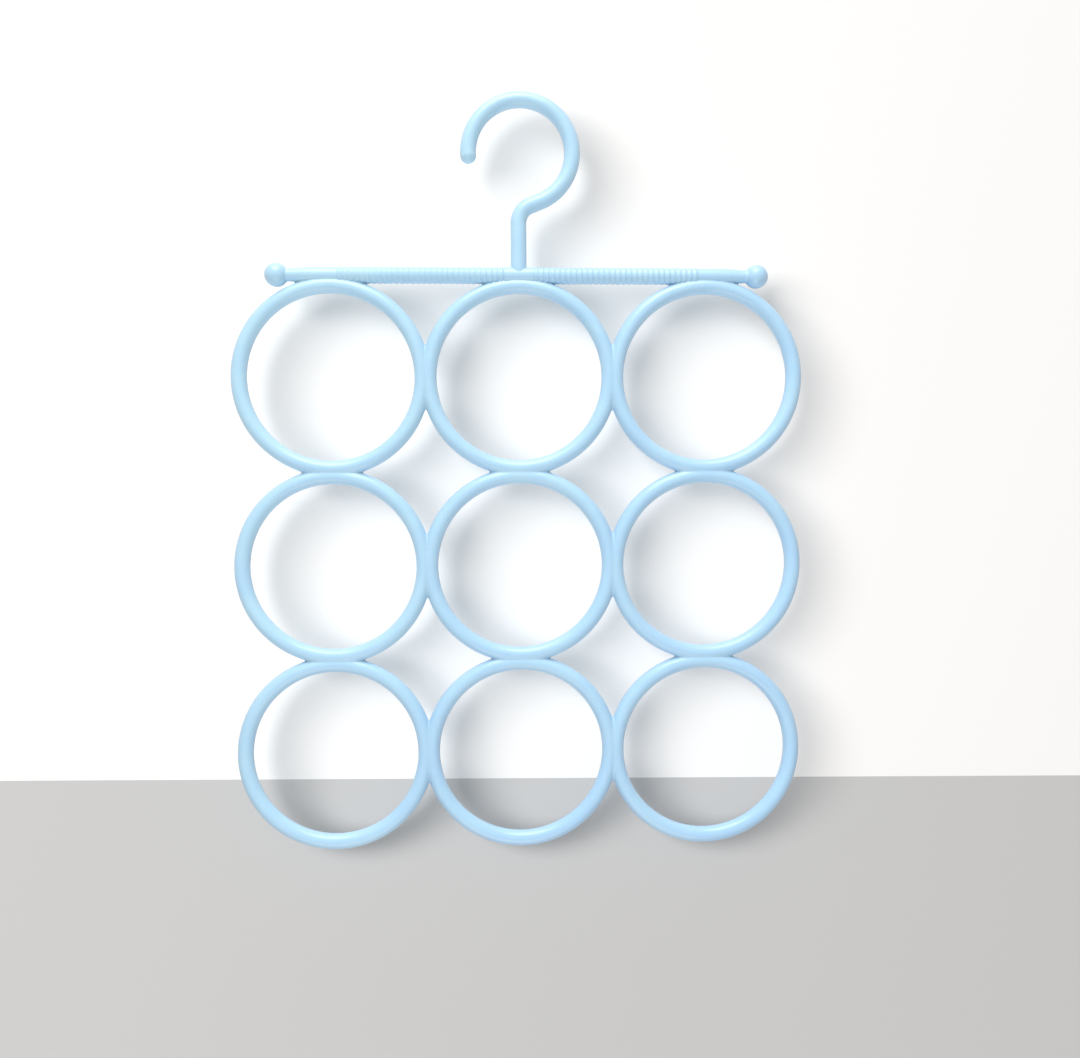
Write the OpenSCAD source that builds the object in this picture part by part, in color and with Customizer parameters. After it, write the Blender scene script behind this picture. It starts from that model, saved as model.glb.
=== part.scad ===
// Scarf hanger: a grid of nine round rings hanging from a ribbed crossbar with a wardrobe hook.
// The origin is the point inside the hook that rests on the rail.
// X runs to the viewer's right, Y into the grid, Z up.

/* [Rings] */
// clear diameter inside each ring
ring_bore = 79.4; // [60:0.2:110]
// diameter of the round rod that rings and hook are made of
rod_d = 7.6; // [6:0.2:10]
// how far two rings side by side run into each other
lap_x = 4.6; // [3:0.2:5.4]
// how far two rings one above the other run into each other
lap_z = 3.8; // [3:0.2:5.4]

/* [Crossbar] */
// diameter of the bar over its ribs, and of its smooth middle
bar_d = 8; // [7:0.1:10]
// how far the bar runs into the tops of the upper rings
bar_lap = 2.9; // [1.5:0.1:3.5]
// height of each rib above the groove beside it
rib_h = 0.3; // [0.2:0.05:0.7]
// distance from one rib to the next
rib_pitch = 2.64; // [2.2:0.02:4]
// share of that distance taken by the top of the rib
rib_share = 0.36; // [0.2:0.02:0.5]
// length of the smooth stretch below the hook
smooth_len = 14; // [11:0.5:30]
// distance from the last rib to the line through the outer rings' centres
rib_stop = 2.2; // [0:0.2:12]

/* [End balls] */
// diameter of the ball at each end of the bar
ball_d = 11.2; // [9:0.2:14]
// distance from an outer ring's centre line out to the ball's centre
ball_reach = 25; // [24:0.5:40]
// diameter of the bar where it enters the ball
stalk_d = 5.8; // [5:0.1:6.6]
// length over which the bar narrows to that diameter
stalk_len = 9; // [1:0.2:12]

/* [Hook] */
// clear diameter inside the hook
hook_bore = 42; // [34:0.5:56]
// how far the hook's centre stands to the right of the shank
hook_offset = 1; // [0:0.5:4]
// height from the bar's axis to the corner of the neck
shank_h = 31; // [22:0.1:45]
// angle the neck turns away from the shank
neck_turn = 68.5; // [60:0.5:70]
// radius inside the neck's bend
neck_inner_r = 5.2; // [3:0.2:7]
// angle, from the right-hand horizontal, at which the hook's rounded tip starts
tip_at = 183.5; // [160:0.5:215]

/* [Hidden] */
$fn = 96;

rod_r = rod_d / 2;
ring_r = ring_bore / 2 + rod_r;
ring_outer_r = ring_bore / 2 + rod_d;
pitch_x = 2 * ring_outer_r - lap_x;
pitch_z = 2 * ring_outer_r - lap_z;
past = 1;

bar_r = bar_d / 2;
groove_r = bar_r - rib_h;
rib_top = rib_pitch * rib_share;
rib_flank = (rib_pitch - rib_top) / 4;
rib_count = floor((pitch_x - smooth_len / 2 - rib_stop) / rib_pitch);
grip_end = smooth_len / 2 + rib_count * rib_pitch;
ball_r = ball_d / 2;
stalk_r = stalk_d / 2;
ball_x = pitch_x + ball_reach;
ball_flat = ball_x - sqrt(ball_r * ball_r - stalk_r * stalk_r);

bow_r = hook_bore / 2 + rod_r;
neck_r = neck_inner_r + rod_r;
bow_z = -hook_bore / 2;
bow_foot_x = bow_r * cos(neck_turn);
bow_foot_z = bow_z - bow_r * sin(neck_turn);
neck_run = (bow_foot_x + hook_offset) / sin(neck_turn);
neck_z = bow_foot_z - neck_run * cos(neck_turn);
neck_setback = neck_r * tan(neck_turn / 2);
bar_z = neck_z - shank_h;
row_z = bar_z - ring_outer_r + bar_lap - bar_r;

plastic = [0.70, 0.87, 0.97];

// Outline of the bar in section, left half below zero and right half above it.
module bar_outline(from, to) {
  intersection() {
    translate([0, from]) square([bar_d, to - from]);
    union() {
      polygon([
        [0, -ball_flat], [stalk_r, -ball_flat],
        [groove_r, stalk_len - ball_flat], [groove_r, -smooth_len / 2],
        [bar_r, -smooth_len / 2], [bar_r, smooth_len / 2],
        [groove_r, smooth_len / 2], [groove_r, ball_flat - stalk_len],
        [stalk_r, ball_flat], [0, ball_flat]
      ]);
      for (side = [-1, 1]) {
        for (i = [0 : rib_count - 1]) {
          at = side * (smooth_len / 2 + (i + 0.5) * rib_pitch);
          polygon([
            [groove_r - rib_h, at - rib_top / 2 - rib_flank],
            [groove_r, at - rib_top / 2 - rib_flank],
            [bar_r, at - rib_top / 2],
            [bar_r, at + rib_top / 2],
            [groove_r, at + rib_top / 2 + rib_flank],
            [groove_r - rib_h, at + rib_top / 2 + rib_flank]
          ]);
        }
      }
    }
  }
}

// A stretch of the bar between two distances from its middle, left ones below zero.
module bar_stretch(from, to) {
  translate([-hook_offset, 0, bar_z]) rotate([0, 90, 0])
    rotate_extrude() bar_outline(from, to);
}

// A ring, cut flat where it meets the next one. Columns run -1, 0, 1 and rows 0, 1, 2.
module ring_member(col, row) {
  x = -hook_offset + col * pitch_x;
  z = row_z - row * pitch_z;
  left = col > -1 ? pitch_x / 2 : ring_outer_r + past;
  right = col < 1 ? pitch_x / 2 : ring_outer_r + past;
  up = row > 0 ? pitch_z / 2 : ring_outer_r + past;
  down = row < 2 ? pitch_z / 2 : ring_outer_r + past;
  translate([x, 0, z]) intersection() {
    translate([-left, -rod_d, -down]) cube([left + right, 2 * rod_d, up + down]);
    rotate([0, 45, 0]) rotate([90, 0, 0])
      rotate_extrude() translate([ring_r, 0]) rotate(180) circle(rod_r);
  }
}

// A ring of the upper row, hollowed at the top to the exact shape of the bar.
module ring_under_bar(col) {
  reach = ring_r * 0.6;
  difference() {
    ring_member(col, 0);
    bar_stretch(max(col * pitch_x - reach, -ball_flat), min(col * pitch_x + reach, ball_flat));
  }
}

// The ball, with a flat the size of the bar end that runs into it.
module end_ball(side) {
  translate([-hook_offset + side * ball_x, 0, bar_z]) rotate([0, side * 90, 0])
    rotate_extrude() intersection() {
      circle(ball_r);
      translate([0, ball_flat - ball_x]) square([ball_d, 2 * ball_d]);
    }
}

module ring_top_left() { color(plastic) ring_under_bar(-1); }
module ring_top_centre() { color(plastic) ring_under_bar(0); }
module ring_top_right() { color(plastic) ring_under_bar(1); }
module ring_middle_left() { color(plastic) ring_member(-1, 1); }
module ring_middle_centre() { color(plastic) ring_member(0, 1); }
module ring_middle_right() { color(plastic) ring_member(1, 1); }
module ring_bottom_left() { color(plastic) ring_member(-1, 2); }
module ring_bottom_centre() { color(plastic) ring_member(0, 2); }
module ring_bottom_right() { color(plastic) ring_member(1, 2); }

module bar_middle() { color(plastic) bar_stretch(-smooth_len / 2, smooth_len / 2); }
module grip_left() { color(plastic) bar_stretch(-grip_end, -smooth_len / 2); }
module grip_right() { color(plastic) bar_stretch(smooth_len / 2, grip_end); }
module bar_end_left() { color(plastic) bar_stretch(-ball_flat, -grip_end); }
module bar_end_right() { color(plastic) bar_stretch(grip_end, ball_flat); }
module ball_left() { color(plastic) end_ball(-1); }
module ball_right() { color(plastic) end_ball(1); }

// The upright rod, hollowed at its foot to sit over the bar.
module hook_shank() {
  color(plastic) difference() {
    translate([-hook_offset, 0, bar_z]) cylinder(h = shank_h - neck_setback, r = rod_r);
    bar_middle();
  }
}

// The short bend at the top of the upright rod.
module hook_neck() {
  color(plastic) translate([-hook_offset + neck_r, 0, neck_z - neck_setback])
    rotate([90, 0, 0]) rotate([0, 0, 180 - neck_turn])
      rotate_extrude(angle = neck_turn) translate([neck_r, 0]) circle(rod_r);
}

// The slanting rod from the bend to the round of the hook.
module hook_slope() {
  color(plastic) translate([bow_foot_x, 0, bow_foot_z]) rotate([0, 180 + neck_turn, 0])
    cylinder(h = neck_run - neck_setback, r = rod_r);
}

// The round of the hook, open at the lower left.
module hook_bow() {
  color(plastic) translate([0, 0, bow_z]) rotate([90, 0, 0]) rotate([0, 0, -neck_turn])
    rotate_extrude(angle = neck_turn + tip_at) translate([bow_r, 0]) circle(rod_r);
}

module hook_tip() {
  color(plastic) translate([0, 0, bow_z]) rotate([0, -tip_at, 0]) translate([bow_r, 0, 0])
    rotate_extrude() intersection() {
      circle(rod_r);
      square(rod_r);
    }
}

ring_top_left();
ring_top_centre();
ring_top_right();
ring_middle_left();
ring_middle_centre();
ring_middle_right();
ring_bottom_left();
ring_bottom_centre();
ring_bottom_right();
bar_middle();
grip_left();
grip_right();
bar_end_left();
bar_end_right();
ball_left();
ball_right();
hook_shank();
hook_neck();
hook_slope();
hook_bow();
hook_tip();
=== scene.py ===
# %% [markdown]
# # A moulded scarf hanger
#
# The object is a flat plastic hanger: nine round rings fused edge to edge, a ribbed crossbar
# with a ball at each end, and a wardrobe hook. This lesson loads the construction solids as a
# fixed frame, softens the places where the melt flowed together, dresses everything as glossy
# moulded plastic and lights it plainly.

# %% Load the frame
import math
import bpy
from mathutils import Matrix, Vector


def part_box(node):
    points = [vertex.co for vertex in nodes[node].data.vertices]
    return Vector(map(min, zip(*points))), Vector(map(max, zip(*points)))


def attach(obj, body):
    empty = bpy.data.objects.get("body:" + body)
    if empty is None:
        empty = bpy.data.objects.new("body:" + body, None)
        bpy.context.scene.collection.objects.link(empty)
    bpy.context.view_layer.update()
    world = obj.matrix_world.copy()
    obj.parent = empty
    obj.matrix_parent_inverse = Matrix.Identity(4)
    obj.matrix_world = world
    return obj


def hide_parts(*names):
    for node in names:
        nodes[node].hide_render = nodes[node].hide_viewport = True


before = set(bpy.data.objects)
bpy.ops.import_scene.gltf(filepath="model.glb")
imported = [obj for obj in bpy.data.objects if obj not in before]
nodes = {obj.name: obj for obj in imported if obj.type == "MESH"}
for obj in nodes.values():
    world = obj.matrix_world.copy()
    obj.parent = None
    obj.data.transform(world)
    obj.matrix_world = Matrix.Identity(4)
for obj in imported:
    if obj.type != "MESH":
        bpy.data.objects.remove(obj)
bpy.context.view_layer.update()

# %% [markdown]
# ## Sizes read from the frame
#
# Every new piece has to sit where the construction has it, so the sizes are read from the
# solids' own boxes instead of being typed again: a ring's centre, the bar's height, the
# thickness of the rods.

# %% The grid of rings
MM = 0.001
centre_low, centre_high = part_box("ring_middle_centre")
left_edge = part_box("ring_middle_left")[0][0]
rod = centre_high[1] - centre_low[1]
pitch_x = centre_high[0] - centre_low[0]
pitch_z = centre_high[2] - centre_low[2]
grid_x = (centre_low[0] + centre_high[0]) / 2
grid_z = (centre_low[2] + centre_high[2]) / 2
ring_radius = grid_x - pitch_x - left_edge - rod / 2
print("rod mm:", round(rod / MM, 2), "ring radius mm:", round(ring_radius / MM, 2))
print("pitch mm:", round(pitch_x / MM, 2), round(pitch_z / MM, 2))

# %% [markdown]
# ## Sizes of the bar and the hook's upright
#
# Distances along the bar are measured from its middle, so that both halves can share them.

# %% Bar and shank
bar_low, bar_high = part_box("bar_middle")
middle_x = (bar_low[0] + bar_high[0]) / 2
bar_z = (bar_low[2] + bar_high[2]) / 2
bar_radius = (bar_high[2] - bar_low[2]) / 2
grip_low, grip_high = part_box("grip_right")
grip_end = grip_high[0] - middle_x
bar_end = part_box("bar_end_right")[1][0] - middle_x
shank_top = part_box("hook_shank")[1][2]
print("bar mm:", round(2 * bar_radius / MM, 2), "at height", round(bar_z / MM, 2))
print("grip ends", round(grip_end / MM, 1), "and bar", round(bar_end / MM, 1), "mm from its middle")

# %% [markdown]
# ## Small helpers for meshes
#
# New pieces start from a primitive that is added at its size and place. Its place is then
# applied, so each object stays at the origin, unturned and unscaled, with its shape in the mesh.
# An operator acts on all that is selected, so everything is deselected first.

# %% Choosing, settling and finishing
def clear_choice():
    if bpy.context.mode != "OBJECT":
        bpy.ops.object.mode_set(mode="OBJECT")
    bpy.ops.object.select_all(action="DESELECT")


def choose(thing):
    clear_choice()
    bpy.context.view_layer.objects.active = thing
    thing.select_set(True)
    return thing


def settle(name):
    made = bpy.context.object
    made.name = made.data.name = name
    bpy.ops.object.transform_apply(location=True, rotation=True, scale=True)
    return made


def apply_modifier(thing, kind, **values):
    choose(thing)
    made = thing.modifiers.new(kind.lower(), kind)
    for name, value in values.items():
        setattr(made, name, value)
    bpy.ops.object.modifier_apply(modifier=made.name)
    return thing


print("helpers for choosing and finishing are ready")

# %% [markdown]
# ### A lathe
#
# Bar, grips and bar ends are all round about one axis. A lathe suits them: it starts with a
# circle, extrudes it a step along X and scales it about the axis, as often as the outline asks.
# The ends are then filled, and only steep edges stay sharp.

# %% Turning a profile
QUARTER_TURN = math.pi / 2
LATHE_SIDES = 96
LATHE_CREASE = math.radians(40)
WELD = 1e-6
SAME_RADIUS = 1e-9


def turned(name, profile):
    clear_choice()
    first_x, first_r = profile[0]
    bpy.ops.mesh.primitive_circle_add(vertices=LATHE_SIDES, radius=first_r, fill_type="NOTHING",
                                      location=(first_x, 0, bar_z), rotation=(0, QUARTER_TURN, 0))
    made = settle(name)
    bpy.ops.object.mode_set(mode="EDIT")
    bpy.ops.mesh.select_all(action="SELECT")
    for (old_x, old_r), (new_x, new_r) in zip(profile, profile[1:]):
        bpy.ops.mesh.extrude_region_move(
            TRANSFORM_OT_translate={"value": (new_x - old_x, 0, 0)})
        if abs(new_r - old_r) > SAME_RADIUS:
            grow = new_r / old_r
            bpy.ops.transform.resize(value=(1, grow, grow), center_override=(0, 0, bar_z))
    bpy.ops.object.mode_set(mode="OBJECT")
    return made


def close_up(thing):
    choose(thing)
    bpy.ops.object.mode_set(mode="EDIT")
    bpy.ops.mesh.select_all(action="SELECT")
    bpy.ops.mesh.remove_doubles(threshold=WELD)
    bpy.ops.mesh.fill_holes(sides=0)
    bpy.ops.mesh.normals_make_consistent(inside=False)
    bpy.ops.object.mode_set(mode="OBJECT")
    bpy.ops.object.shade_smooth_by_angle(angle=LATHE_CREASE)
    return thing


print("lathe with", LATHE_SIDES, "sides")

# %% [markdown]
# ### Cutting a piece out
#
# The rings and the shank are cut from one skin. A boolean with a plain block keeps every piece
# watertight, which a bisect along the net's own lines does not. Crumbs that the cut leaves
# beside a piece are parted from it and removed.

# %% Cutting with a block
SKIN_CREASE = math.radians(50)


def without_crumbs(thing, name):
    choose(thing)
    bpy.ops.object.mode_set(mode="EDIT")
    bpy.ops.mesh.select_all(action="SELECT")
    bpy.ops.mesh.separate(type="LOOSE")
    bpy.ops.object.mode_set(mode="OBJECT")
    parts = sorted(bpy.context.selected_objects, key=lambda part: len(part.data.polygons))
    for crumb in parts[:-1]:
        bpy.data.objects.remove(crumb)
    kept = choose(parts[-1])
    kept.name = kept.data.name = name
    return kept


def part_inside(whole, name, low, high):
    piece = whole.copy()
    piece.data = whole.data.copy()
    bpy.context.scene.collection.objects.link(piece)
    clear_choice()
    low, high = Vector(low), Vector(high)
    bpy.ops.mesh.primitive_cube_add(size=1.0, location=(low + high) / 2, scale=high - low)
    room = settle("room")
    apply_modifier(piece, "BOOLEAN", operation="INTERSECT", object=room, solver="MANIFOLD")
    bpy.data.objects.remove(room)
    kept = without_crumbs(piece, name)
    bpy.ops.object.shade_smooth_by_angle(angle=SKIN_CREASE)
    return kept


print("block cutter ready")

# %% [markdown]
# ## Where the melt flowed together
#
# In the construction the rings simply overlap, which leaves knife-sharp creases. In a real
# moulding every inner corner is a little rounded. A boolean union would leave the creases sharp,
# and a bevel along them breaks where three rods meet. So the rings, a plain bar and the shank
# are melted into one skin by a fine voxel remesh, which rebuilds them as one even net, and a
# light smoothing rounds each crease alike.

# %% [markdown]
# ### The bar without its ribs
#
# The skin needs a plain bar twice: once to flow into, and once, a hair thicker, to be cut out
# again. Both follow the outline of the real bar: even along the grips, then narrowing over the
# last nine millimetres to the neck of each ball.

# %% The bar's plain outline
RIB_HEIGHT = 0.34 * MM
NECK_RADIUS = 2.9 * MM
TAPER = 9.0 * MM
groove_radius = bar_radius - RIB_HEIGHT


def end_radius(x):
    share = min(max((x - (bar_end - TAPER)) / TAPER, 0.0), 1.0)
    return groove_radius + (NECK_RADIUS - groove_radius) * share


def plain_bar(name, shrink, past):
    half = [(0.0, groove_radius), (bar_end - TAPER, groove_radius), (bar_end, NECK_RADIUS),
            (bar_end + past, NECK_RADIUS)]
    profile = [(-x, r) for x, r in reversed(half)] + half[1:]
    return close_up(turned(name, [(middle_x + x, r - shrink) for x, r in profile]))


print("groove mm:", round(2 * groove_radius / MM, 2), "neck mm:", round(2 * NECK_RADIUS / MM, 2))

# %% [markdown]
# ### Raw rings, bar and shank
#
# One torus is arrayed three times across and three times upward. Smoothing thins the rods by a
# hair, so the raw ones are a hair too thick. The bar inside them stays thinner than the real
# one, because it only has to carry the fillets.

# %% Raw shapes
SPARE = 0.02 * MM
CORE_SHRINK = 0.16 * MM
SHANK_PAST = 6 * MM
raw_radius = rod / 2 + SPARE
three_times = {"count": 3, "use_relative_offset": False, "use_constant_offset": True}
across = (pitch_x, 0, 0)
upward = (0, 0, pitch_z)
clear_choice()
bpy.ops.mesh.primitive_torus_add(major_radius=ring_radius, minor_radius=raw_radius,
                                 major_segments=256, minor_segments=48,
                                 location=(grid_x - pitch_x, 0, grid_z - pitch_z),
                                 rotation=(QUARTER_TURN, 0, 0))
skin = settle("melted_skin")
apply_modifier(skin, "ARRAY", constant_offset_displace=across, **three_times)
apply_modifier(skin, "ARRAY", constant_offset_displace=upward, **three_times)
core = plain_bar("core", CORE_SHRINK, 0.0)
raw_top = shank_top + SHANK_PAST
clear_choice()
bpy.ops.mesh.primitive_cylinder_add(vertices=96, radius=raw_radius, depth=raw_top - bar_z,
                                    location=(grid_x, 0, (bar_z + raw_top) / 2))
shank = settle("shank")
print("raw rings and shank are", round(2 * raw_radius / MM, 2), "mm thick")

# %% [markdown]
# ### A lens of plastic in each side contact
#
# Seen close, the columns of rings are almost flush where they run side by side, so the groove
# there is filled before the remesh. Each lens is a sphere that is scaled to a flat, upright
# almond and repeated up its column. Its half depth stays under the rods' own radius, so it only
# fills the groove and never stands out.

# %% Lenses in the side contacts
LENS_HALF_WIDTH = 2.6 * MM
LENS_HALF_HEIGHT = 12.5 * MM
LENS_HALF_DEPTHS = {-0.5: 3.66 * MM, 0.5: 3.56 * MM}
lenses = []
for col, half_depth in LENS_HALF_DEPTHS.items():
    clear_choice()
    bpy.ops.mesh.primitive_uv_sphere_add(segments=48, ring_count=24, radius=1.0,
                                         location=(grid_x + col * pitch_x, 0, grid_z - pitch_z),
                                         scale=(LENS_HALF_WIDTH, half_depth, LENS_HALF_HEIGHT))
    lens = settle("lens")
    apply_modifier(lens, "ARRAY", constant_offset_displace=upward, **three_times)
    lenses.append(lens)
print("columns of lenses:", len(lenses))

# %% [markdown]
# ### Melting the shapes together
#
# All raw shapes are joined into one mesh, although they still pass through each other. The
# remesh keeps only their outside, and the smoothing rounds it.

# %% The melted skin
VOXEL = 0.46 * MM
clear_choice()
for thing in [core, shank, skin] + lenses:
    thing.select_set(True)
bpy.context.view_layer.objects.active = skin
bpy.ops.object.join()
apply_modifier(skin, "REMESH", mode="VOXEL", voxel_size=VOXEL, use_smooth_shade=True)
apply_modifier(skin, "SMOOTH", factor=0.5, iterations=7)
print("melted skin faces:", len(skin.data.polygons))

# %% [markdown]
# ### Room for the bar
#
# The bar is dressed apart because of its ribs, so its room is cut out of the skin. What stays is
# a fine fillet that leans against the bar, under the rib tops, where ring and shank meet it.

# %% Cut the bar's room out again
CUTTER_SHRINK = 0.05 * MM
CUTTER_PAST = 3 * MM
cutter = plain_bar("cutter", CUTTER_SHRINK, CUTTER_PAST)
apply_modifier(skin, "BOOLEAN", operation="DIFFERENCE", object=cutter, solver="MANIFOLD")
bpy.data.objects.remove(cutter)
print("after the cut:", len(skin.data.polygons))

# %% [markdown]
# ## One piece for each ring
#
# The skin is cut flat where two rings meet, exactly where the construction cuts them, so each
# ring stays a piece of its own and can be told apart and renamed later. The blocks of the outer
# rings simply run far past them, and the upper ones end at the bar's axis.

# %% Split the skin
FAR = 0.3
edges_x = [-FAR, grid_x - pitch_x / 2, grid_x + pitch_x / 2, FAR]
edges_z = [-2 * FAR, grid_z - pitch_z / 2, grid_z + pitch_z / 2, bar_z]
rings = {}
for col, col_name in enumerate(("left", "centre", "right")):
    for row, row_name in enumerate(("bottom", "middle", "top")):
        node = "ring_%s_%s" % (row_name, col_name)
        rings[node] = part_inside(skin, "blended_" + node, (edges_x[col], -FAR, edges_z[row]),
                                  (edges_x[col + 1], FAR, edges_z[row + 1]))
print("ring faces:", [len(piece.data.polygons) for piece in rings.values()])

# %% [markdown]
# ## The shank
#
# The hook's upright grows out of the bar's top with a small rounded foot. It is the one piece of
# the skin that lies above the bar, so a block from there to the shank's top sets it free.

# %% The shank with its rounded foot
foot = part_inside(skin, "blended_shank", (-FAR, -FAR, bar_z), (FAR, FAR, shank_top))
bpy.data.objects.remove(skin)
print("shank faces:", len(foot.data.polygons))

# %% [markdown]
# ## Handing pieces over to the frame
#
# Each new piece rides on the hanger's one body and takes the place of the solid that it dresses,
# which is hidden. A list keeps what the plastic has to cover later.

# %% Hand over rings and shank
dressed = []


def hand_over(piece, node):
    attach(piece, "root")
    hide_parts(node)
    dressed.append(piece)


for node, piece in rings.items():
    hand_over(piece, node)
hand_over(foot, "hook_shank")
print("handed over:", len(dressed))

# %% [markdown]
# ## The ribbed grips
#
# The photo shows low, round ribs rather than square ones. One rib is drawn as a soft bump
# turned about the bar's axis, and an array repeats it along the grip.

# %% Grips
RIB_PITCH = 2.64 * MM
RIB_STEPS = 12
RIB_FULLNESS = 1.5
rib_count = round((grip_high[0] - grip_low[0]) / RIB_PITCH)


def rib_radius(share):
    groove = (0.5 + 0.5 * math.cos(2 * math.pi * share)) ** RIB_FULLNESS
    return bar_radius - RIB_HEIGHT * groove


def grip(name, start_x):
    profile = [(start_x + k * RIB_PITCH / RIB_STEPS, rib_radius(k / RIB_STEPS))
               for k in range(RIB_STEPS + 1)]
    made = turned(name, profile)
    apply_modifier(made, "ARRAY", count=rib_count, use_relative_offset=False,
                   use_constant_offset=True, use_merge_vertices=True, merge_threshold=WELD,
                   constant_offset_displace=(RIB_PITCH, 0, 0))
    return close_up(made)


for side in ("left", "right"):
    node = "grip_" + side
    hand_over(grip("soft_" + node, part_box(node)[0][0]), node)
print("ribs on each grip:", rib_count)

# %% [markdown]
# ## The tapered ends
#
# Past the grips the bar is smooth and narrows towards its ball. A mould has no sharp inner
# corner there, so the outline ends in an arc that touches both the bar and the ball. Where the
# arc starts and ends follows from the three touching circles: bar, arc and ball.

# %% The arc between bar and ball
FILLET = 2.0 * MM
FILLET_STEPS = 8
ball_low, ball_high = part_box("ball_right")
ball_radius = (ball_high[2] - ball_low[2]) / 2
ball_x = ball_high[0] - ball_radius - middle_x
arc_z = end_radius(bar_end - FILLET / 2) + FILLET
arc_turn = math.acos(arc_z / (ball_radius + FILLET))
arc_x = ball_x - arc_z * math.tan(arc_turn)
arc_angles = [arc_turn * k / FILLET_STEPS for k in range(FILLET_STEPS + 1)]
arc = [(arc_x + FILLET * math.sin(a), arc_z - FILLET * math.cos(a)) for a in arc_angles]
print("arc from", [round(v / MM, 2) for v in arc[0]], "to", [round(v / MM, 2) for v in arc[-1]])

# %% [markdown]
# ### Turning the two ends
#
# A last, slightly smaller circle dips just inside the ball, so no open edge or flat face of the
# bar's end can be seen.

# %% Bar ends
TAPER_STEPS = 6
DIP = 0.1 * MM


def tapered_end(name, side):
    profile = [(grip_end, groove_radius)]
    narrowing = arc_x - (bar_end - TAPER)
    for k in range(TAPER_STEPS):
        x = bar_end - TAPER + narrowing * k / TAPER_STEPS
        profile.append((x, end_radius(x)))
    profile += arc + [(arc[-1][0] + DIP, arc[-1][1] - DIP)]
    return close_up(turned(name, [(middle_x + side * x, r) for x, r in profile]))


hand_over(tapered_end("tapered_end_left", -1), "bar_end_left")
hand_over(tapered_end("tapered_end_right", 1), "bar_end_right")
print("points in an end's outline:", TAPER_STEPS + len(arc) + 2)

# %% [markdown]
# ## Small helpers for materials
#
# A material is a chain of nodes. These helpers keep the chains short to read: one adds a node
# with its values, one joins two sockets, one turns a colour as it is seen into the linear values
# that a shader wants, and one makes a ramp between two colours.

# %% Node helpers
def add_node(tree, kind, where=(0, 0), **values):
    made = tree.nodes.new(kind)
    made.location = where
    for name, value in values.items():
        if hasattr(made, name):
            setattr(made, name, value)
        else:
            made.inputs[name.replace("_", " ")].default_value = value
    return made


def join(tree, start, end):
    tree.links.new(start, end)


def srgb(red, green, blue):
    def straight(v):
        v = v / 255
        return v / 12.92 if v <= 0.04045 else ((v + 0.055) / 1.055) ** 2.4
    return (straight(red), straight(green), straight(blue), 1.0)


def ramp(tree, where, low, high, low_colour=(0, 0, 0, 1), high_colour=(1, 1, 1, 1)):
    made = add_node(tree, "ShaderNodeValToRGB", where)
    made.color_ramp.elements[0].position = low
    made.color_ramp.elements[0].color = low_colour
    made.color_ramp.elements[1].position = high
    made.color_ramp.elements[1].color = high_colour
    return made


print("pale blue in linear values:", [round(v, 3) for v in srgb(187, 229, 249)])

# %% [markdown]
# ## Effects that several materials could share
#
# Plain colour looks like paint. A moulding has faint clouds where the melt mixed, a soft
# waviness of the skin, fine scuffs from rails and other hangers, and a thin parting line where
# the two mould halves met. Each of these is a node group that puts out one value.

# %% A shell for node groups
def shared_group(name, output):
    tree = bpy.data.node_groups.new(name, "ShaderNodeTree")
    tree.interface.new_socket("Vector", in_out="INPUT", socket_type="NodeSocketVector")
    tree.interface.new_socket(output, in_out="OUTPUT", socket_type="NodeSocketFloat")
    start = add_node(tree, "NodeGroupInput", (-900, 0))
    end = add_node(tree, "NodeGroupOutput", (600, 0))
    return tree, start.outputs["Vector"], end.inputs[output]


print("group shell ready")

# %% [markdown]
# ### Melt clouds
#
# Colour granules never mix quite evenly with the melt. Broad and fine noise together give soft
# clouds a few centimetres wide, which steer the tint and the gloss a little.

# %% Melt clouds
FINE_CLOUD_SHARE = 0.35
clouds_group, place, value = shared_group("melt_clouds", "Value")
broad = add_node(clouds_group, "ShaderNodeTexNoise", (-600, 150), Scale=26.0, Detail=2.0,
                 Distortion=0.6)
fine = add_node(clouds_group, "ShaderNodeTexNoise", (-600, -150), Scale=140.0, Detail=4.0)
blend = add_node(clouds_group, "ShaderNodeMath", (-300, 0), operation="MULTIPLY_ADD")
blend.inputs[1].default_value = FINE_CLOUD_SHARE
shape = ramp(clouds_group, (0, 0), 0.52, 0.86)
join(clouds_group, place, broad.inputs["Vector"])
join(clouds_group, place, fine.inputs["Vector"])
join(clouds_group, fine.outputs["Fac"], blend.inputs[0])
join(clouds_group, broad.outputs["Fac"], blend.inputs[2])
join(clouds_group, blend.outputs[0], shape.inputs["Fac"])
join(clouds_group, shape.outputs["Color"], value)
print("group:", clouds_group.name)

# %% [markdown]
# ### Scuffs
#
# Rails, cloth and other hangers rub the plastic dull in patches of short, fine streaks. A
# stretched noise makes the streaks, and a broad one keeps them in patches.

# %% Scuffs
STREAK_STRETCH = (1.0, 0.35, 0.16)
STREAK_TURN = (0.3, 0.5, 0.2)
scuff_group, place, mask = shared_group("rail_scuffs", "Mask")
squash = add_node(scuff_group, "ShaderNodeMapping", (-700, 0), Scale=STREAK_STRETCH,
                  Rotation=STREAK_TURN)
streak = add_node(scuff_group, "ShaderNodeTexNoise", (-450, 100), Scale=1500.0, Detail=3.0)
patch = add_node(scuff_group, "ShaderNodeTexNoise", (-450, -150), Scale=60.0, Detail=2.0)
streak_cut = ramp(scuff_group, (-200, 100), 0.58, 0.70)
patch_cut = ramp(scuff_group, (-200, -150), 0.48, 0.66)
both = add_node(scuff_group, "ShaderNodeMath", (150, 0), operation="MULTIPLY")
join(scuff_group, place, squash.inputs["Vector"])
join(scuff_group, squash.outputs["Vector"], streak.inputs["Vector"])
join(scuff_group, place, patch.inputs["Vector"])
join(scuff_group, streak.outputs["Fac"], streak_cut.inputs["Fac"])
join(scuff_group, patch.outputs["Fac"], patch_cut.inputs["Fac"])
join(scuff_group, streak_cut.outputs["Color"], both.inputs[0])
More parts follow.
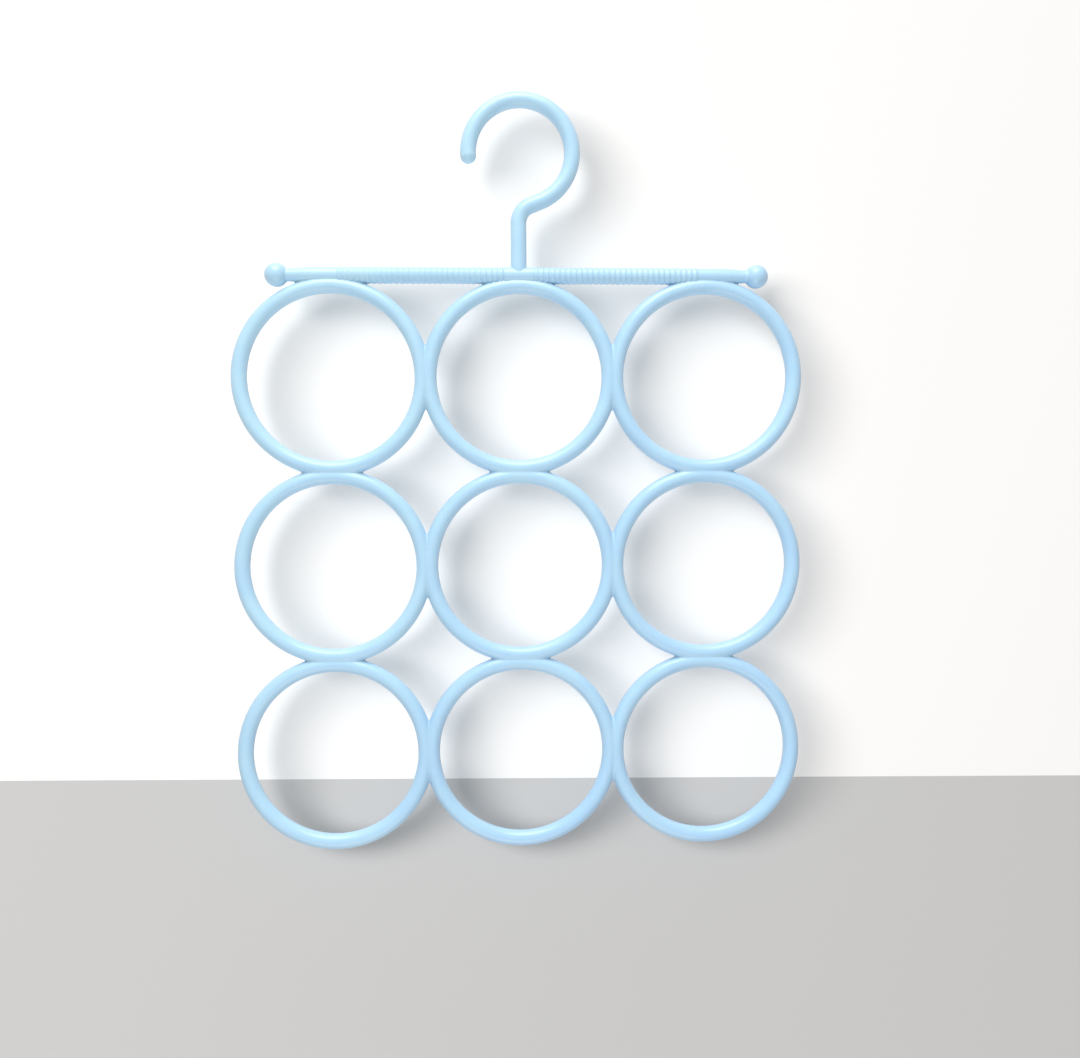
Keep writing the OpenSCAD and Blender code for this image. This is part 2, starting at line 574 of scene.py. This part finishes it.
join(scuff_group, patch_cut.outputs["Color"], both.inputs[1])
join(scuff_group, both.outputs[0], mask)
print("group:", scuff_group.name)

# %% [markdown]
# ### Parting line
#
# The two mould halves meet in the hanger's middle plane, which is where Y is nought. There a
# hair-thin line runs round every rod, worn away in places.

# %% Parting line
LINE_FADES_AT = 0.16 * MM
LINE_FULL_AT = 0.04 * MM
seam_group, place, mask = shared_group("parting_line", "Mask")
axes = add_node(seam_group, "ShaderNodeSeparateXYZ", (-700, 0))
off = add_node(seam_group, "ShaderNodeMath", (-500, 0), operation="ABSOLUTE")
near = add_node(seam_group, "ShaderNodeMapRange", (-300, 0), From_Min=LINE_FADES_AT,
                From_Max=LINE_FULL_AT)
worn = add_node(seam_group, "ShaderNodeTexNoise", (-500, -250), Scale=90.0, Detail=2.0)
worn_cut = ramp(seam_group, (-300, -250), 0.30, 0.55)
both = add_node(seam_group, "ShaderNodeMath", (150, 0), operation="MULTIPLY")
join(seam_group, place, axes.inputs[0])
join(seam_group, axes.outputs["Y"], off.inputs[0])
join(seam_group, off.outputs[0], near.inputs["Value"])
join(seam_group, place, worn.inputs["Vector"])
join(seam_group, worn.outputs["Fac"], worn_cut.inputs["Fac"])
join(seam_group, near.outputs["Result"], both.inputs[0])
join(seam_group, worn_cut.outputs["Color"], both.inputs[1])
join(seam_group, both.outputs[0], mask)
print("group:", seam_group.name)

# %% [markdown]
# ### Skin waviness
#
# Thick rods shrink unevenly as they cool, so the skin is faintly wavy under a very fine orange
# peel. Both are heights for a bump, far too small to model.

# %% Skin waviness
PEEL_SHARE = 0.07
wave_group, place, height = shared_group("moulded_skin", "Height")
swell = add_node(wave_group, "ShaderNodeTexNoise", (-600, 150), Scale=75.0, Detail=1.0)
peel = add_node(wave_group, "ShaderNodeTexNoise", (-600, -150), Scale=850.0, Detail=2.0)
sum_up = add_node(wave_group, "ShaderNodeMath", (-250, 0), operation="MULTIPLY_ADD")
sum_up.inputs[1].default_value = PEEL_SHARE
join(wave_group, place, swell.inputs["Vector"])
join(wave_group, place, peel.inputs["Vector"])
join(wave_group, peel.outputs["Fac"], sum_up.inputs[0])
join(wave_group, swell.outputs["Fac"], sum_up.inputs[2])
join(wave_group, sum_up.outputs[0], height)
print("group:", wave_group.name)

# %% [markdown]
# ## The plastic
#
# The real hanger is pale sky blue, a little milky and semi-glossy. A touch of subsurface light
# makes the rods look like solid plastic instead of painted metal. What holds for the whole
# object is set on the shader itself, and the groups then steer what varies.

# %% Start the plastic
plastic = bpy.data.materials.new("sky_blue_plastic")
plastic.use_nodes = True
tree = plastic.node_tree
shader = tree.nodes["Principled BSDF"]
shader.inputs["IOR"].default_value = 1.49
shader.inputs["Subsurface Weight"].default_value = 0.12
shader.inputs["Subsurface Radius"].default_value = (0.8, 0.9, 1.0)
shader.inputs["Subsurface Scale"].default_value = 1.2 * MM
place = add_node(tree, "ShaderNodeTexCoord", (-1500, 0)).outputs["Object"]


def effect(group, y):
    made = add_node(tree, "ShaderNodeGroup", (-1200, y))
    made.node_tree = group
    join(tree, place, made.inputs["Vector"])
    return made.outputs[0]


clouds = effect(clouds_group, 400)
scuffs = effect(scuff_group, 150)
seam = effect(seam_group, -100)
height = effect(wave_group, -350)
print("material:", plastic.name)

# %% [markdown]
# ### Tint and painted light
#
# The plastic is painted palest at the hook and a little deeper at the lower right. This is a
# painted light falloff, lighter at the upper left where the light comes from. The clouds, the
# plastic's own uneven tone, are added to that drift before a ramp picks the blue.

# %% Tint with a painted light falloff
LIGHT_FALLOFF = (-1.5, 0.0, 1.2)
LIGHT_FALLOFF_START = 0.52
CLOUD_SHARE = 0.5
DEEPER_BLUE_AND_SHADE = srgb(179, 219, 251)
PALER_BLUE_AND_LIGHT = srgb(190, 229, 249)
# painted light: the tint turns paler towards the upper left, where the light falls, and deeper
# towards the lower right
painted_light_falloff = add_node(tree, "ShaderNodeVectorMath", (-1200, 650), operation="DOT_PRODUCT")
painted_light_falloff.inputs[1].default_value = LIGHT_FALLOFF
shifted = add_node(tree, "ShaderNodeMath", (-1100, 750), operation="ADD")
shifted.inputs[1].default_value = LIGHT_FALLOFF_START
mixed = add_node(tree, "ShaderNodeMath", (-1000, 550), operation="MULTIPLY_ADD")
mixed.inputs[1].default_value = CLOUD_SHARE
tint = ramp(tree, (-850, 400), 0.0, 1.0, DEEPER_BLUE_AND_SHADE, PALER_BLUE_AND_LIGHT)
join(tree, place, painted_light_falloff.inputs[0])
join(tree, painted_light_falloff.outputs["Value"], shifted.inputs[0])
join(tree, clouds, mixed.inputs[0])
join(tree, shifted.outputs[0], mixed.inputs[2])
join(tree, mixed.outputs[0], tint.inputs["Fac"])
print("tint drifts along", LIGHT_FALLOFF)

# %% [markdown]
# ### Rubbed streaks and painted rim shade
#
# Scuffs rub the tint a little paler. Towards a rod's rim a facing weight multiplies the colour
# down to a darker, greyer blue: painted shade along the edges of every rod.

# %% Colour of scuffs and painted rim shade
RUBBED_BLUE = srgb(206, 234, 248)
RUB_STRENGTH = 0.35
# painted shade: the colour is multiplied down towards each rod's rim, where the rod is seen edge-on
PAINTED_RIM_SHADE = (0.76, 0.66, 0.64, 1.0)
fade = add_node(tree, "ShaderNodeMath", (-700, 200), operation="MULTIPLY")
fade.inputs[1].default_value = RUB_STRENGTH
pale = add_node(tree, "ShaderNodeMix", (-500, 400), data_type="RGBA")
pale.inputs[7].default_value = RUBBED_BLUE
rim = add_node(tree, "ShaderNodeLayerWeight", (-700, 700), Blend=0.33)
painted_rim_shade = add_node(tree, "ShaderNodeMix", (-250, 400), data_type="RGBA", blend_type="MULTIPLY")
painted_rim_shade.inputs[7].default_value = PAINTED_RIM_SHADE
join(tree, scuffs, fade.inputs[0])
join(tree, fade.outputs[0], pale.inputs[0])
join(tree, tint.outputs["Color"], pale.inputs[6])
join(tree, rim.outputs["Facing"], painted_rim_shade.inputs[0])
join(tree, pale.outputs[2], painted_rim_shade.inputs[6])
join(tree, painted_rim_shade.outputs[2], shader.inputs["Base Color"])
print("rims multiplied by", PAINTED_RIM_SHADE[:3])

# %% [markdown]
# ### Gloss
#
# The clouds shift the gloss slightly, and the scuffs are clearly duller than the rest.

# %% Roughness
GLOSSIEST = 0.30
DULLEST_CLOUD = 0.38
SCUFF_DULLNESS = 0.22
gloss = add_node(tree, "ShaderNodeMapRange", (-850, 50), To_Min=GLOSSIEST, To_Max=DULLEST_CLOUD)
rough = add_node(tree, "ShaderNodeMath", (-600, 50), operation="MULTIPLY_ADD")
rough.inputs[1].default_value = SCUFF_DULLNESS
join(tree, clouds, gloss.inputs["Value"])
join(tree, scuffs, rough.inputs[0])
join(tree, gloss.outputs["Result"], rough.inputs[2])
join(tree, rough.outputs[0], shader.inputs["Roughness"])
print("roughness from", GLOSSIEST, "to", DULLEST_CLOUD + SCUFF_DULLNESS)

# %% [markdown]
# ### Relief
#
# Two bumps follow each other: the waviness of the skin first, then the fine ridge of the
# parting line on top of it.

# %% Bumps
WAVE_HEIGHT = 0.25 * MM
RIDGE_HEIGHT = 0.06 * MM
wave = add_node(tree, "ShaderNodeBump", (-600, -300), Strength=0.35, Distance=WAVE_HEIGHT)
ridge = add_node(tree, "ShaderNodeBump", (-350, -200), Strength=0.6, Distance=RIDGE_HEIGHT)
join(tree, height, wave.inputs["Height"])
join(tree, seam, ridge.inputs["Height"])
join(tree, wave.outputs["Normal"], ridge.inputs["Normal"])
join(tree, ridge.outputs["Normal"], shader.inputs["Normal"])
print("nodes in the plastic:", len(tree.nodes))

# %% [markdown]
# ### Dressing the hanger
#
# The whole hanger is one moulding, so every piece wears the same plastic. The solids that no
# new piece replaces are shown as they are.

# %% Put the plastic on
dressed += list(nodes.values())
for part in dressed:
    part.data.materials.clear()
    part.data.materials.append(plastic)
print("dressed", len(dressed), "pieces in", plastic.name)

# %% [markdown]
# ## The camera
#
# The camera stands where the photographer stood: about half a metre away, a little above the
# middle ring and turned very slightly. Position and turn were fitted to the nine ring centres.

# %% Camera
PHOTO_WIDTH = 1080.0
FOCAL_PIXELS = 1000.0
SENSOR_MM = 36.0
CAMERA_YAW, CAMERA_PITCH, CAMERA_ROLL = -2.491, -2.711, 0.274
CAMERA_FROM_GRID = Vector((-0.01145, -0.48464, 0.04059))


def photo_camera():
    eye = bpy.data.cameras.new("photo_camera")
    eye.sensor_width = SENSOR_MM
    eye.lens = SENSOR_MM * FOCAL_PIXELS / PHOTO_WIDTH
    eye.clip_start, eye.clip_end = 0.01, 20.0
    holder = bpy.data.objects.new("photo_camera", eye)
    bpy.context.scene.collection.objects.link(holder)
    turn = (Matrix.Rotation(math.radians(CAMERA_YAW), 3, "Z")
            @ Matrix.Rotation(math.radians(CAMERA_PITCH), 3, "X")
            @ Matrix.Rotation(math.radians(CAMERA_ROLL), 3, "Y"))
    right, forward, up = turn.col[0], turn.col[1], turn.col[2]
    axes = Matrix((right, up, -forward)).transposed().to_4x4()
    spot = Vector((grid_x, 0.0, grid_z)) + CAMERA_FROM_GRID
    holder.matrix_world = Matrix.Translation(spot) @ axes
    bpy.context.scene.camera = holder
    return holder


camera = photo_camera()
print("camera at", [round(v, 4) for v in camera.matrix_world.translation])

# %% [markdown]
# ## Backdrop and floor
#
# A white wall stands two centimetres behind the hanger's middle and catches its soft shadow. A
# pale floor falls steeply forward from it, where the photo's lower band begins. Both are stage
# pieces, not part of the object. Each is one flat face, which is drawn from its points, and a
# shader makes it see-through from behind.

# %% A matt sheet for the stage
def flat_sheet(name, corners, colour):
    mesh = bpy.data.meshes.new(name)
    mesh.from_pydata(corners, [], [(0, 1, 2, 3)])
    sheet = bpy.data.objects.new(name, mesh)
    bpy.context.scene.collection.objects.link(sheet)
    paint = bpy.data.materials.new(name)
    paint.use_nodes = True
    tree = paint.node_tree
    shader = tree.nodes["Principled BSDF"]
    shader.inputs["Base Color"].default_value = colour
    shader.inputs["Roughness"].default_value = 0.9
    shader.inputs["Specular IOR Level"].default_value = 0.1
    clear = add_node(tree, "ShaderNodeBsdfTransparent", (0, -300))
    side = add_node(tree, "ShaderNodeNewGeometry", (0, 300))
    mix = add_node(tree, "ShaderNodeMixShader", (300, 0))
    join(tree, side.outputs["Backfacing"], mix.inputs["Fac"])
    join(tree, shader.outputs[0], mix.inputs[1])
    join(tree, clear.outputs[0], mix.inputs[2])
    join(tree, mix.outputs[0], tree.nodes["Material Output"].inputs["Surface"])
    mesh.materials.append(paint)
    return sheet


print("stage sheets are see-through from behind")

# %% [markdown]
# ### Where wall and floor meet
#
# The photo's lower band has a slightly tilted upper edge. Wall and floor share that edge, a
# little lower on the right than on the left.

# %% Wall and floor
WALL_Y = 0.021
WALL_TOP = 1.3
HALF_WIDTH = 1.5
BAND_BELOW_GRID = 0.1111
EDGE_TILT = 0.019
FLOOR_RUN = 0.2
FLOOR_DROP = 0.7
band_z = grid_z - BAND_BELOW_GRID
front_y = WALL_Y - FLOOR_RUN
front_z = band_z - FLOOR_DROP
left_foot = (-HALF_WIDTH, WALL_Y, band_z + EDGE_TILT)
right_foot = (HALF_WIDTH, WALL_Y, band_z - EDGE_TILT)
left_top = (-HALF_WIDTH, WALL_Y, WALL_TOP)
right_top = (HALF_WIDTH, WALL_Y, WALL_TOP)
left_front = (-HALF_WIDTH, front_y, front_z)
right_front = (HALF_WIDTH, front_y, front_z)
wall = flat_sheet("wall", [left_foot, right_foot, right_top, left_top], srgb(253, 251, 249))
floor = flat_sheet("floor", [left_front, right_front, right_foot, left_foot],
                   srgb(198, 197, 196))
print("wall at y", WALL_Y, "floor from z", round(band_z, 4))

# %% [markdown]
# ## Light
#
# The photo's rods are light on top and in front and its soft shadow falls to the lower right.
# One wide lamp on the left throws that shadow on the backdrop, and two more, above and below
# the lens, shape the rods. Light linking keeps each lamp to its own task, so the backdrop stays
# an even white.

# %% World
world = bpy.data.worlds.new("studio")
bpy.context.scene.world = world
world.use_nodes = True
world.node_tree.nodes["Background"].inputs["Color"].default_value = (1, 1, 1, 1)
world.node_tree.nodes["Background"].inputs["Strength"].default_value = 0.40
print("world:", world.name)

# %% [markdown]
# ### The three lamps
#
# Each lamp is a round soft box that looks at a point in the upper grid. Its size and distance
# set how soft its light is, and its power how bright.

# %% Lamps
AIM_ABOVE_GRID = 0.05
middle = Vector((grid_x, 0, grid_z + AIM_ABOVE_GRID))


def soft_lamp(name, offset, width, power):
    light = bpy.data.lights.new(name, "AREA")
    light.shape = "DISK"
    light.size = width
    light.energy = power
    lamp = bpy.data.objects.new(name, light)
    bpy.context.scene.collection.objects.link(lamp)
    lamp.location = middle + Vector(offset)
    lamp.rotation_euler = (middle - lamp.location).to_track_quat("-Z", "Y").to_euler()
    return lamp


def only_on(lamp, things, name):
    group = bpy.data.collections.new(name)
    for thing in things:
        group.objects.link(thing)
    lamp.light_linking.receiver_collection = group


wall_lamp = soft_lamp("wall_lamp", offset=(-2.68, -3.18, 1.15), width=3.4, power=188.0)
top_lamp = soft_lamp("top_lamp", offset=(-0.15, -0.64, 1.32), width=1.1, power=23.5)
low_lamp = soft_lamp("low_lamp", offset=(-0.1, -0.85, -1.2), width=1.1, power=9.2)
only_on(wall_lamp, [wall, floor], "lit_backdrop")
only_on(top_lamp, dressed, "lit_hanger")
only_on(low_lamp, dressed, "lit_hanger_low")
print("lamps:", [lamp.name for lamp in (wall_lamp, top_lamp, low_lamp)])

# %% [markdown]
# ## Finish
#
# The view transform is set to Standard.

# %% Finish
bpy.context.scene.view_settings.view_transform = "Standard"
